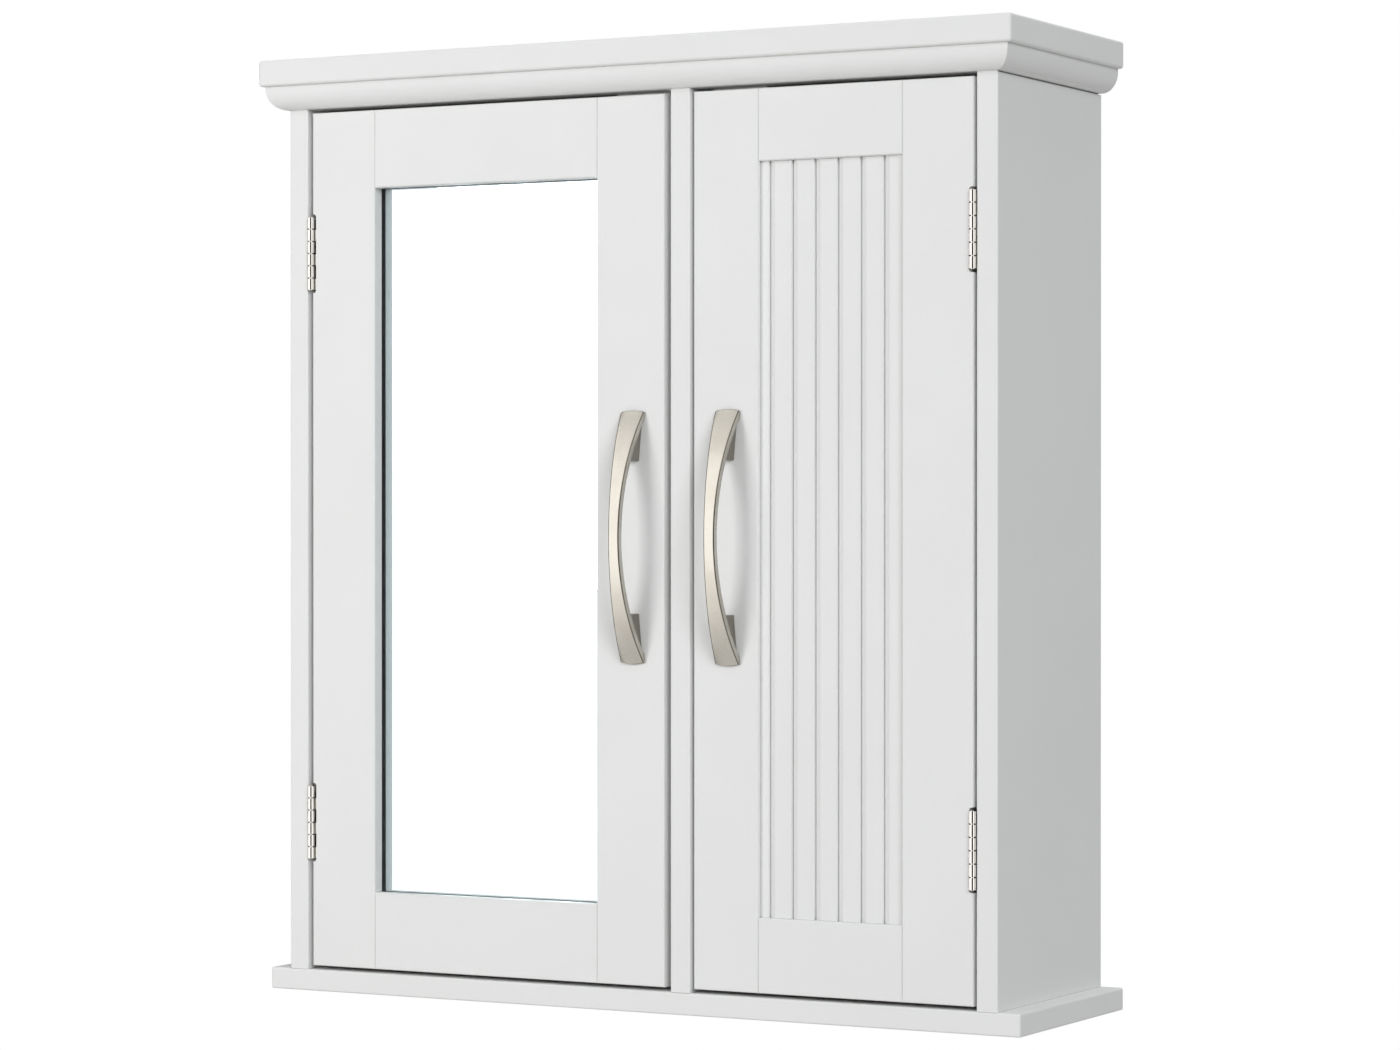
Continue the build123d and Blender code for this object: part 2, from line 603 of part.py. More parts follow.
def stile(outer_x, inner_x, groove_y, groove_open, rail_heights):
    """A full-height stile.  groove_y gives the front and back of the groove along its inner edge;
    with groove_open it runs out through the back as a rebate, and each rail's tongue has a mortise."""
    side = 1 if inner_x > outer_x else -1
    x0, x1 = sorted((outer_x, inner_x))
    with BuildPart() as member:
        block(x0, x1, DOOR_Y0, DOOR_Y1, DOOR_Z0, DOOR_Z1)
        front = member.faces().sort_by(Axis.Y)[0]
        edges = front.edges()
        inner_edge = edges.filter_by(Axis.Z).sort_by(lambda e: side * e.center().X)[-1]
        chamfer(inner_edge, JOINT_CHAMFER)
        outer_edges = member.faces().sort_by(Axis.Y)[0].edges().filter_by(
            lambda e: side * e.center().X < side * (inner_x - side * 2 * JOINT_CHAMFER))
        fillet(outer_edges, EDGE_ROUND)
        groove_x = sorted((inner_x - side * TONGUE_L, inner_x + side))
        if groove_open:
            low_z = DOOR_Z0 + rail_heights[0] - TONGUE_L
            high_z = DOOR_Z1 - rail_heights[1] + TONGUE_L
            block(*groove_x, groove_y[1], DOOR_Y1 + 1, low_z, high_z, Mode.SUBTRACT)
            tongues = (
                (DOOR_Z0 + TONGUE_L, DOOR_Z0 + rail_heights[0]),
                (DOOR_Z1 - rail_heights[1], DOOR_Z1 - TONGUE_L),
            )
            for z0, z1 in tongues:
                block(*groove_x, *groove_y, z0, z1, Mode.SUBTRACT)
        else:
            block(*groove_x, *groove_y, DOOR_Z0 + TONGUE_L, DOOR_Z1 - TONGUE_L, Mode.SUBTRACT)
    return member


def rail(x0, x1, outer_z, inner_z, groove_y, groove_open):
    """A rail between two stiles, with its tongues; outer_z is its edge at the top or bottom of the door."""
    up = 1 if inner_z > outer_z else -1
    z0, z1 = sorted((outer_z, inner_z))
    with BuildPart() as member:
        block(x0, x1, DOOR_Y0, DOOR_Y1, z0, z1)
        front = member.faces().sort_by(Axis.Y)[0]
        chamfer(front.edges().filter_by(lambda e: up * e.center().Z > up * outer_z + 1), JOINT_CHAMFER)
        fillet(member.faces().sort_by(Axis.Y)[0].edges().sort_by(
            lambda e: up * e.center().Z)[0], EDGE_ROUND)
        groove_z = sorted((inner_z - up * TONGUE_L, inner_z + up))
        far_y = DOOR_Y1 + 1 if groove_open else groove_y[1]
        near_y = groove_y[1] if groove_open else groove_y[0]
        block(x0 - 1, x1 + 1, near_y, far_y, *groove_z, Mode.SUBTRACT)
        tongue_z = sorted((outer_z + up * TONGUE_L, inner_z if groove_open else inner_z - up * TONGUE_L))
        for end0, end1 in ((x0 - TONGUE_L, x0), (x1, x1 + TONGUE_L)):
            block(end0, end1, *groove_y, *tongue_z)
    return member


# Mirror door
mirror_groove = (DOOR_Y0 + MIRROR_LIP - MIRROR_TONGUE_T, DOOR_Y0 + MIRROR_LIP)
mirror_rails = (MIRROR_BOTTOM_RAIL_H, MIRROR_TOP_RAIL_H)

with BuildPart() as mirror_door_hinge_stile:
    add(stile(M_X0, M_OPEN_X0, mirror_groove, True, mirror_rails).part)
    add(hinge_pockets(M_X0).part, mode=Mode.SUBTRACT)
    add(countersunk(clip_screw_places, *CLIP_SCREW, FIT).part, mode=Mode.SUBTRACT)
    add(countersunk(mirror_door_screws_at, *HINGE_SCREW, FIT).part, mode=Mode.SUBTRACT)
finish(mirror_door_hinge_stile, "mirror_door_hinge_stile")

with BuildPart() as mirror_door_latch_stile:
    add(stile(M_X1, M_OPEN_X1, mirror_groove, True, mirror_rails).part)
    add(handle_bores(M_HANDLE_X).part, mode=Mode.SUBTRACT)
    add(countersunk([strike_screw_at[M_CATCH_X]], *STRIKE_SCREW, FIT).part, mode=Mode.SUBTRACT)
    add(countersunk(clip_screw_places, *CLIP_SCREW, FIT).part, mode=Mode.SUBTRACT)
finish(mirror_door_latch_stile, "mirror_door_latch_stile")

finish(rail(M_OPEN_X0, M_OPEN_X1, DOOR_Z1, M_OPEN_Z1, mirror_groove, True), "mirror_door_top_rail")
finish(rail(M_OPEN_X0, M_OPEN_X1, DOOR_Z0, M_OPEN_Z0, mirror_groove, True), "mirror_door_bottom_rail")

MIRROR_Y0 = DOOR_Y0 + MIRROR_LIP
MIRROR_Y1 = MIRROR_Y0 + MIRROR_T

with BuildPart() as mirror_glass:
    block(M_OPEN_X0 - MIRROR_LAP, M_OPEN_X1 + MIRROR_LAP, MIRROR_Y0, MIRROR_Y1,
          M_OPEN_Z0 - MIRROR_LAP, M_OPEN_Z1 + MIRROR_LAP)
finish(mirror_glass, "mirror_glass")

with BuildPart() as mirror_backing:
    block(M_OPEN_X0 - MIRROR_LAP, M_OPEN_X1 + MIRROR_LAP, MIRROR_Y1, MIRROR_Y1 + MIRROR_BACKING_T,
          M_OPEN_Z0 - MIRROR_LAP, M_OPEN_Z1 + MIRROR_LAP)
finish(mirror_backing, "mirror_backing")

# Retaining clips behind the mirror: flat tabs screwed to the frame, lapping the backing board

with BuildPart() as mirror_clips:
    for x, side, z in clip_spots:
        with Locations((x, DOOR_Y1 + CLIP_T / 2, z)):
            Box(CLIP_L, CLIP_T, CLIP_W)
    fillet(mirror_clips.edges().filter_by(Axis.Y), CLIP_CORNER_R)
    add(countersunk(clip_screw_places, *CLIP_SCREW, FIT).part, mode=Mode.SUBTRACT)
finish(mirror_clips, "mirror_clips")
finish(countersunk(clip_screw_places, *CLIP_SCREW), "mirror_clip_screws")

# Panelled door
panel_groove = (DOOR_Y0 + PANEL_LIP, DOOR_Y0 + PANEL_LIP + PANEL_T_DOOR)
panel_rails = (PANEL_BOTTOM_RAIL_H, PANEL_TOP_RAIL_H)

with BuildPart() as panel_door_hinge_stile:
    add(stile(P_X1, P_OPEN_X1, panel_groove, False, panel_rails).part)
    add(hinge_pockets(P_X1).part, mode=Mode.SUBTRACT)
    add(countersunk(panel_door_screws_at, *HINGE_SCREW, FIT).part, mode=Mode.SUBTRACT)
finish(panel_door_hinge_stile, "panel_door_hinge_stile")

with BuildPart() as panel_door_latch_stile:
    add(stile(P_X0, P_OPEN_X0, panel_groove, False, panel_rails).part)
    add(handle_bores(P_HANDLE_X).part, mode=Mode.SUBTRACT)
    add(countersunk([strike_screw_at[P_CATCH_X]], *STRIKE_SCREW, FIT).part, mode=Mode.SUBTRACT)
finish(panel_door_latch_stile, "panel_door_latch_stile")

finish(rail(P_OPEN_X0, P_OPEN_X1, DOOR_Z1, P_OPEN_Z1, panel_groove, False), "panel_door_top_rail")
finish(rail(P_OPEN_X0, P_OPEN_X1, DOOR_Z0, P_OPEN_Z0, panel_groove, False), "panel_door_bottom_rail")

with BuildPart() as beaded_panel:
    with BuildSketch(Plane.XY.offset(P_OPEN_Z0 - PANEL_LAP)) as bead_section:
        with Locations(((P_OPEN_X0 + P_OPEN_X1) / 2, sum(panel_groove) / 2)):
            Rectangle(P_OPEN_X1 - P_OPEN_X0 + 2 * PANEL_LAP, PANEL_T_DOOR)
        for index in range(BEAD_COUNT):
            bead_x = P_OPEN_X0 + BEAD_FIRST + index * BEAD_PITCH
            with BuildLine():
                Polyline(
                    (bead_x, panel_groove[0]),
                    (bead_x + BEAD_STEEP_W, panel_groove[0] + BEAD_DEPTH),
                    (bead_x + BEAD_W, panel_groove[0]),
                    close=True,
                )
            make_face(mode=Mode.SUBTRACT)
    extrude(amount=P_OPEN_Z1 - P_OPEN_Z0 + 2 * PANEL_LAP)
finish(beaded_panel, "beaded_panel")

# ---- Handles: a bowed strap, narrow in the middle and flared to both tips, on two feet ----


def handle_outline(centre_x, inset):
    """A handle seen from the front, on the door's face: concave sides, slightly crowned tips."""
    half = HANDLE_L / 2
    tip = HANDLE_TIP_W / 2 - inset
    waist = HANDLE_MID_W / 2 - inset
    corner = half - HANDLE_TIP_CROWN
    front_plane = Plane(origin=(centre_x, DOOR_Y0, HANDLE_Z), x_dir=(1, 0, 0), z_dir=(0, -1, 0))
    with BuildSketch(front_plane) as shape:
        with BuildLine():
            ThreePointArc((tip, -corner), (waist, 0), (tip, corner))
            ThreePointArc((tip, corner), (0, half), (-tip, corner))
            ThreePointArc((-tip, corner), (-waist, 0), (-tip, -corner))
            ThreePointArc((-tip, -corner), (0, -half), (tip, -corner))
        make_face()
    return shape.sketch


def handle_bow(centre_x, outer_drop, inner_r_drop):
    """A band of the strap's bow seen from the side, between two depths under its outer curve."""
    rise = HANDLE_OUT - HANDLE_TIP_T
    bow_r = ((HANDLE_L / 2) ** 2 + rise ** 2) / (2 * rise)
    side_plane = Plane(origin=(centre_x, DOOR_Y0, HANDLE_Z), x_dir=(0, -1, 0), z_dir=(-1, 0, 0))
    with BuildSketch(side_plane) as bow:
        with Locations((HANDLE_OUT - bow_r, 0)):
            Circle(bow_r - outer_drop)
            if inner_r_drop:
                Circle(bow_r - inner_r_drop, mode=Mode.SUBTRACT)
        with Locations((HANDLE_OUT / 2, 0)):
            Rectangle(HANDLE_OUT, HANDLE_L, mode=Mode.INTERSECT)
    return bow.sketch


def handle_feet(centre_x):
    """The two feet, from the door's face up into the strap."""
    with BuildPart() as feet:
        extrude(handle_bow(centre_x, HANDLE_STRAP_T / 2, 0), amount=HANDLE_TIP_W, both=True)
        extrude(handle_outline(centre_x, HANDLE_FOOT_INSET), amount=HANDLE_OUT, mode=Mode.INTERSECT)
        with Locations((centre_x, DOOR_Y0 - HANDLE_OUT / 2, HANDLE_Z)):
            Box(HANDLE_TIP_W, HANDLE_OUT, 2 * HANDLE_FOOT_FROM, mode=Mode.SUBTRACT)
    return feet


def handle(centre_x):
    """One handle, standing on the door's face, bored from behind for its screws."""
    bores = [
        facing(centre_x, DOOR_Y0, HANDLE_Z + dz, (0, 1, 0))
        for dz in (-HANDLE_CENTRES / 2, HANDLE_CENTRES / 2)
    ]
    bore_l = HANDLE_SCREW_IN + HANDLE_SCREW_GAP
    with BuildPart() as pull:
        extrude(handle_bow(centre_x, 0, HANDLE_STRAP_T), amount=HANDLE_TIP_W, both=True)
        extrude(handle_outline(centre_x, 0), amount=HANDLE_OUT, mode=Mode.INTERSECT)
        add(handle_feet(centre_x).part)
        with Locations(*bores):
            Cylinder(HANDLE_SCREW_R + FIT, bore_l, align=TO_TOP, mode=Mode.SUBTRACT)
    return pull


def handle_screws(centre_x):
    """Pan-head machine screws from behind the stile into the handle's feet."""
    with BuildPart() as screws:
        for dz in (-HANDLE_CENTRES / 2, HANDLE_CENTRES / 2):
            with Locations(facing(centre_x, DOOR_Y1, HANDLE_Z + dz, (0, 1, 0))):
                Cylinder(HANDLE_SCREW_R, DOOR_T + HANDLE_SCREW_IN, align=TO_TOP)
                Cylinder(PAN_HEAD_R, PAN_HEAD_H, align=FROM_BASE)
        fillet(screws.edges().group_by(Axis.Y)[-1], PAN_HEAD_ROUND)
        for dz in (-HANDLE_CENTRES / 2, HANDLE_CENTRES / 2):
            with Locations(facing(centre_x, DOOR_Y1 + PAN_HEAD_H, HANDLE_Z + dz, (0, 1, 0))):
                Box(RECESS_L, RECESS_W, RECESS_D, align=TO_TOP, mode=Mode.SUBTRACT)
                Box(RECESS_W, RECESS_L, RECESS_D, align=TO_TOP, mode=Mode.SUBTRACT)
    return screws


finish(handle(M_HANDLE_X), "mirror_door_handle")
finish(handle(P_HANDLE_X), "panel_door_handle")
finish(handle_screws(M_HANDLE_X), "mirror_door_handle_screws")
finish(handle_screws(P_HANDLE_X), "panel_door_handle_screws")

# ---- Hinges: two leaves with interleaved knuckles round one pin ----

KNUCKLE_L = HINGE_L / KNUCKLES


def leaf(axis_x, middle_z, side, plate_x, parity, bore_r, screws_at):
    """One hinge leaf.  side is the way from the axis to the plate, plate_x the face against the wood,
    and parity picks the knuckles that belong to this leaf."""
    x0, x1 = sorted((plate_x, plate_x - side * LEAF_T))
    web = sorted((axis_x, plate_x))
    low = middle_z - HINGE_L / 2
    with BuildPart() as plate:
        block(x0, x1, FRONT_Y + LEAF_CLEAR_D, FRONT_Y + LEAF_D, low, low + HINGE_L)
        for index in range(parity, KNUCKLES, 2):
            z0 = low + index * KNUCKLE_L + KNUCKLE_GAP / 2
            z1 = z0 + KNUCKLE_L - KNUCKLE_GAP
            with Locations((axis_x, FRONT_Y, z0)):
                Cylinder(BARREL_R, z1 - z0, align=FROM_BASE)
            block(*web, FRONT_Y + BARREL_R - LEAF_T, FRONT_Y + BARREL_R, z0, z1)
            block(x0, x1, FRONT_Y + BARREL_R - LEAF_T, FRONT_Y + LEAF_CLEAR_D, z0, z1)
        with Locations((axis_x, FRONT_Y, middle_z)):
            Cylinder(bore_r, HINGE_L + 1, mode=Mode.SUBTRACT)
        add(countersunk(screws_at, *HINGE_SCREW, FIT).part, mode=Mode.SUBTRACT)
    return plate


for name, middle_z in zip(("lower", "upper"), HINGE_Z):
    finish(leaf(LEFT_AXIS_X, middle_z, -1, LEFT_IN, 1, PIN_R, frame_screws_at),
           f"mirror_door_{name}_hinge_frame_leaf")
    finish(leaf(LEFT_AXIS_X, middle_z, 1, M_X0 + POCKET_W, 0, PIN_R + PIN_RUNNING_GAP,
                mirror_door_screws_at),
           f"mirror_door_{name}_hinge_door_leaf")
    finish(leaf(RIGHT_AXIS_X, middle_z, 1, RIGHT_IN, 1, PIN_R, frame_screws_at),
           f"panel_door_{name}_hinge_frame_leaf")
    finish(leaf(RIGHT_AXIS_X, middle_z, -1, P_X1 - POCKET_W, 0, PIN_R + PIN_RUNNING_GAP,
                panel_door_screws_at),
           f"panel_door_{name}_hinge_door_leaf")

hinge_pin_places = [
    facing(x, FRONT_Y, z, (0, 0, 1)) for x in (LEFT_AXIS_X, RIGHT_AXIS_X) for z in HINGE_Z
]
finish(rods(hinge_pin_places, PIN_R, HINGE_L), "hinge_pins")
finish(countersunk(frame_screws_at, *HINGE_SCREW), "hinge_frame_screws")
finish(countersunk(mirror_door_screws_at, *HINGE_SCREW), "mirror_door_hinge_screws")
finish(countersunk(panel_door_screws_at, *HINGE_SCREW), "panel_door_hinge_screws")

# ---- Magnetic catches under the top panel, and the plates they hold ----

with BuildPart() as catch_housings:
    for x in (M_CATCH_X, P_CATCH_X):
        half = CATCH_L / 2
        block(x - half, x + half, CATCH_Y0, CATCH_Y0 + CATCH_D, CEILING_Z - CATCH_EAR_T, CEILING_Z)
        block(x - half + CATCH_EAR_L, x + half - CATCH_EAR_L, CATCH_Y0, CATCH_Y0 + CATCH_D,
              CEILING_Z - CATCH_H, CEILING_Z)
        block(x - MAGNET_L / 2, x + MAGNET_L / 2, CATCH_Y0 - 1, CATCH_Y0 + MAGNET_D,
              CATCH_MIDDLE_Z - MAGNET_H / 2, CATCH_MIDDLE_Z + MAGNET_H / 2, Mode.SUBTRACT)
    add(countersunk(catch_screw_places, *CATCH_SCREW, FIT).part, mode=Mode.SUBTRACT)
finish(catch_housings, "catch_housings")

with BuildPart() as catch_magnets:
    for x in (M_CATCH_X, P_CATCH_X):
        block(x - MAGNET_L / 2, x + MAGNET_L / 2, CATCH_Y0, CATCH_Y0 + MAGNET_D,
              CATCH_MIDDLE_Z - MAGNET_H / 2, CATCH_MIDDLE_Z + MAGNET_H / 2)
finish(catch_magnets, "catch_magnets")
finish(countersunk(catch_screw_places, *CATCH_SCREW), "catch_screws")


def strike(centre_x):
    """A steel plate on the back of a door, where the magnet meets it."""
    on_door = Plane(origin=(centre_x, DOOR_Y1, CATCH_MIDDLE_Z), x_dir=(1, 0, 0), z_dir=(0, 1, 0))
    with BuildPart() as plate:
        with BuildSketch(on_door):
            RectangleRounded(STRIKE_L, STRIKE_H, STRIKE_CORNER_R)
        extrude(amount=STRIKE_T)
        add(countersunk([strike_screw_at[centre_x]], *STRIKE_SCREW, FIT).part, mode=Mode.SUBTRACT)
    return plate


for door, centre_x in (("mirror_door", M_CATCH_X), ("panel_door", P_CATCH_X)):
    finish(strike(centre_x), f"{door}_strike_plate")
    finish(countersunk([strike_screw_at[centre_x]], *STRIKE_SCREW), f"{door}_strike_screw")
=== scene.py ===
import json
import math

import bmesh
import bpy
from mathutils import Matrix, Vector

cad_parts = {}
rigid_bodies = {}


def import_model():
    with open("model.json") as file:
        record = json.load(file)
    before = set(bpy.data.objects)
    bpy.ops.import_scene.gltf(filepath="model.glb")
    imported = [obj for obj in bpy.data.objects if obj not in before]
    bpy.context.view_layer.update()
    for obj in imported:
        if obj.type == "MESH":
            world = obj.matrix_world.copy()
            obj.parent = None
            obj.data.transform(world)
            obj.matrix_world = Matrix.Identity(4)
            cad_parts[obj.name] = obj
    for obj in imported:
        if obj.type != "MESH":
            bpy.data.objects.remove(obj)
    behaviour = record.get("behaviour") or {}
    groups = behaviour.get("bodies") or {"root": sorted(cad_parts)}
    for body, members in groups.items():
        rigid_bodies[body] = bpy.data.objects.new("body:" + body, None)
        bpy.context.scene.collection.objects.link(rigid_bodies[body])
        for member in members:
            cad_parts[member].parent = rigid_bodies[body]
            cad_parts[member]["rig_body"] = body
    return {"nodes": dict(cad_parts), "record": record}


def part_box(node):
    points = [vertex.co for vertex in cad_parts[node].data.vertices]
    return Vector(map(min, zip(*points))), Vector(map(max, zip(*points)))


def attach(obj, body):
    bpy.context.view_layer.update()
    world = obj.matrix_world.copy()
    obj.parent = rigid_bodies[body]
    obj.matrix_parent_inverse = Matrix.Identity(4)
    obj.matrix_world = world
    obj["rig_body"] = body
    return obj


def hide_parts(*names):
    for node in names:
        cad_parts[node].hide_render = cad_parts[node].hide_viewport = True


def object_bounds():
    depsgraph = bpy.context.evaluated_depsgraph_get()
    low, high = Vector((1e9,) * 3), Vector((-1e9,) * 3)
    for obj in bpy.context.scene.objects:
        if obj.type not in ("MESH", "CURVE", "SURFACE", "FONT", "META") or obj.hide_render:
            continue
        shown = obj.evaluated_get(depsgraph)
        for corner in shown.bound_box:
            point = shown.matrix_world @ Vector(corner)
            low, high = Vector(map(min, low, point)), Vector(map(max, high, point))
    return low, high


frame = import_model()
cad_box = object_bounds()
MM = 0.001
SLOT_OF = {part["node"]: part["material_slot"] for part in frame["record"]["subparts"]}

# ---------------------------------------------------------------- materials


class Finish:
    """A procedural material while it is made: one Principled shader, and short calls for its nodes. Patterns
    are laid out in each piece's own coordinates, in metres, so they move with the piece."""

    def __init__(self, name):
        self.material = bpy.data.materials.new(name)
        self.material.use_nodes = True
        self.tree = self.material.node_tree
        self.shader = self.tree.nodes["Principled BSDF"]
        self.place = self.add("ShaderNodeTexCoord").outputs["Object"]

    def add(self, kind, **settings):
        node = self.tree.nodes.new(kind)
        for name, value in settings.items():
            setattr(node, name, value)
        return node

    def feed(self, socket, value):
        if isinstance(value, bpy.types.NodeSocket):
            self.tree.links.new(value, socket)
        else:
            socket.default_value = value

    def set(self, **values):
        """set(Base_Color=..., Roughness=...): a number, a colour or another node's output for each input."""
        for name, value in values.items():
            self.feed(self.shader.inputs[name.replace("_", " ")], value)

    def stretched(self, x, y, z):
        """The piece's coordinates, with each axis multiplied by a number."""
        node = self.add("ShaderNodeMapping")
        self.feed(node.inputs["Vector"], self.place)
        node.inputs["Scale"].default_value = (x, y, z)
        return node.outputs["Vector"]

    def axis(self, name):
        node = self.add("ShaderNodeSeparateXYZ")
        self.feed(node.inputs[0], self.place)
        return node.outputs[name]

    def noise(self, scale, detail=2.0, roughness=0.5, at=None):
        node = self.add("ShaderNodeTexNoise")
        self.feed(node.inputs["Vector"], self.place if at is None else at)
        node.inputs["Scale"].default_value = scale
        node.inputs["Detail"].default_value = detail
        node.inputs["Roughness"].default_value = roughness
        return node.outputs["Fac"]

    def spots(self, scale, at=None):
        """Distance to the nearest point of a scattered set."""
        node = self.add("ShaderNodeTexVoronoi")
        self.feed(node.inputs["Vector"], self.place if at is None else at)
        node.inputs["Scale"].default_value = scale
        return node.outputs["Distance"]

    def between(self, value, start, end, low=0.0, high=1.0):
        """Maps start..end of a value smoothly to low..high."""
        node = self.add("ShaderNodeMapRange", interpolation_type="SMOOTHSTEP")
        self.feed(node.inputs["Value"], value)
        node.inputs["From Min"].default_value = start
        node.inputs["From Max"].default_value = end
        node.inputs["To Min"].default_value = low
        node.inputs["To Max"].default_value = high
        return node.outputs["Result"]

    def math(self, operation, a, b=0.0):
        node = self.add("ShaderNodeMath", operation=operation)
        for socket, value in zip(node.inputs, (a, b)):
            self.feed(socket, value)
        return node.outputs[0]

    def mix(self, factor, a, b):
        """A colour between a and b."""
        node = self.add("ShaderNodeMix", data_type="RGBA")
        self.feed(node.inputs["Factor"], factor)
        for socket, colour in ((node.inputs["A"], a), (node.inputs["B"], b)):
            self.feed(socket, (*colour, 1.0) if isinstance(colour, tuple) else colour)
        return node.outputs["Result"]

    def bump(self, height, depth, normal=None):
        """A normal bent by a height from 0 to 1 that stands for depth metres."""
        node = self.add("ShaderNodeBump")
        self.feed(node.inputs["Height"], height)
        node.inputs["Distance"].default_value = depth
        if normal is not None:
            self.feed(node.inputs["Normal"], normal)
        return node.outputs["Normal"]

    def edges(self, radius, strength):
        """0 on flat faces and up to 1 along the edges, where fingers and cloths wear a surface; on metal it
        masks a painted dark outline.
        """
        bevel = self.add("ShaderNodeBevel", samples=4)
        bevel.inputs["Radius"].default_value = radius
        dot = self.add("ShaderNodeVectorMath", operation="DOT_PRODUCT")
        self.feed(dot.inputs[0], bevel.outputs["Normal"])
        self.feed(dot.inputs[1], self.add("ShaderNodeNewGeometry").outputs["True Normal"])
        turned = self.math("SUBTRACT", 1.0, dot.outputs["Value"])
        return self.between(turned, 0.0, 1.0 / strength)

    def crevice_shade_mask(self, reach):
        """A mask for painted shade: 1 deep in narrow grooves and joints, 0 in the open and in plain corners.
        """
        node = self.add("ShaderNodeAmbientOcclusion", samples=8)
        node.inputs["Distance"].default_value = reach
        return self.between(node.outputs["AO"], 0.25, 0.8, 1.0, 0.0)


def paint(name, colour, shadow, gloss):
    """Sprayed satin paint over fibreboard: faint orange peel, slow ripples, thinner along the edges, and
    painted shade in narrow grooves and joints.
    """
    f = Finish(name)
    clouds = f.noise(9.0, detail=4.0)
    speckle = f.noise(420.0, detail=3.0)
    tone = f.mix(f.between(clouds, 0.3, 0.7, 0.0, 0.55), colour, shadow)
    tone = f.mix(f.between(speckle, 0.42, 0.75, 0.0, 0.35), tone, shadow)
    worn = f.math("MULTIPLY", f.edges(1.2 * MM, 3.0), f.between(f.noise(60.0, 3.0), 0.35, 0.7, 0.1, 0.5))
    tone = f.mix(worn, tone, tuple(0.93 * c for c in shadow))
    # painted shade: narrow grooves and joints are darkened to 0.45 of the darker tone, where little light
    # reaches
    tone = f.mix(f.crevice_shade_mask(1.1 * MM), tone, tuple(0.45 * c for c in shadow))
    peel = f.noise(650.0, detail=1.5)
    ripple = f.noise(110.0, detail=1.0)
    normal = f.bump(ripple, 0.035 * MM)
    normal = f.bump(peel, 0.018 * MM, normal)
    roughness = f.between(f.noise(35.0, detail=3.0), 0.3, 0.7, gloss, gloss + 0.1)
    f.set(Base_Color=tone, Roughness=roughness, Normal=normal, Specular_IOR_Level=0.4)
    return f.material


SCREEN_PITCH = 1.6 * MM                 # of the mesh that the press leaves on hardboard


def hardboard(name, face_y, painted, raw, fibre):
    """Thin hardboard: smooth and painted in front of face_y, and behind it raw and marked by the press."""
    f = Finish(name)
    behind = f.between(f.axis("Y"), face_y - 0.2 * MM, face_y + 0.2 * MM)
    fibres = f.noise(260.0, detail=5.0, roughness=0.7)
    blots = f.noise(24.0, detail=3.0)
    brown = f.mix(f.between(fibres, 0.35, 0.7), raw, fibre)
    brown = f.mix(f.between(blots, 0.4, 0.75, 0.0, 0.35), brown, tuple(0.7 * c for c in fibre))
    white = f.mix(f.between(blots, 0.3, 0.7, 0.0, 0.4), painted, tuple(0.95 * c for c in painted))
    waves = [f.math("SINE", f.math("MULTIPLY", f.axis(along), 2 * math.pi / SCREEN_PITCH)) for along in "XZ"]
    screen = f.math("MULTIPLY", waves[0], waves[1])
    height = f.math("ADD", f.math("MULTIPLY", screen, 0.35), f.math("MULTIPLY", fibres, 0.5))
    rough_face = f.bump(f.math("MULTIPLY", height, behind), 0.12 * MM)
    normal = f.bump(f.noise(500.0, 2.0), 0.012 * MM, rough_face)
    f.set(
        Base_Color=f.mix(behind, white, brown),
        Roughness=f.between(behind, 0.0, 1.0, 0.5, 0.85),
        Normal=normal,
        Specular_IOR_Level=0.35,
    )
    return f.material


def metal(name, colour, tarnish, low, high, lay, grain, edge_shade=0.85):
    """Plated or cast metal. lay stretches the grain along the way it was rubbed, grain is its depth in
    metres, and edge_shade is how bright the painted dark outline along the edges is, against the tarnish
    colour."""
    f = Finish(name)
    streaks = f.noise(1.0, detail=5.0, roughness=0.65, at=f.stretched(*lay))
    clouds = f.noise(45.0, detail=3.0)
    tone = f.mix(f.between(clouds, 0.4, 0.75, 0.0, 0.5), colour, tarnish)
    tone = f.mix(f.between(streaks, 0.55, 0.8, 0.0, 0.35), tone, tarnish)
    roughness = f.math("ADD", f.between(streaks, 0.3, 0.7, low, high), f.between(clouds, 0.3, 0.7, 0.0, 0.04))
    # painted shade: a dark outline along the edges, edge_shade times the tarnish colour, in place of the
    # edges reflecting dark surroundings
    tone = f.mix(f.edges(0.5 * MM, 4.0), tone, tuple(edge_shade * c for c in tarnish))
    f.set(Base_Color=tone, Metallic=1.0, Roughness=roughness, Normal=f.bump(streaks, grain))
    return f.material


def zinc_plate(name):
    """Passivated zinc: a dull shine with cool and yellow patches of spangle."""
    f = Finish(name)
    patches = f.noise(300.0, detail=3.0)
    spangle = f.spots(900.0)
    tone = f.mix(f.between(patches, 0.35, 0.65), (0.60, 0.63, 0.66), (0.68, 0.66, 0.58))
    tone = f.mix(f.between(spangle, 0.1, 0.7, 0.0, 0.4), tone, (0.46, 0.48, 0.50))
    roughness = f.between(f.noise(700.0, 2.0), 0.3, 0.7, 0.26, 0.42)
    f.set(Base_Color=tone, Metallic=1.0, Roughness=roughness, Normal=f.bump(spangle, 0.02 * MM))
    return f.material


def moulded_plastic(name, colour):
    """Injection-moulded plastic: fine spark-eroded texture and slight sink marks."""
    f = Finish(name)
    texture = f.noise(1400.0, detail=2.0)
    sink = f.noise(140.0, detail=1.0)
    tone = f.mix(f.between(sink, 0.35, 0.7, 0.0, 0.5), colour, tuple(0.94 * c for c in colour))
    normal = f.bump(texture, 0.015 * MM, f.bump(sink, 0.05 * MM))
    f.set(
        Base_Color=tone,
        Roughness=f.between(texture, 0.3, 0.7, 0.36, 0.5),
        Normal=normal,
        Subsurface_Weight=0.05,
    )
    f.shader.inputs["Subsurface Radius"].default_value = (MM, MM, MM)
    return f.material


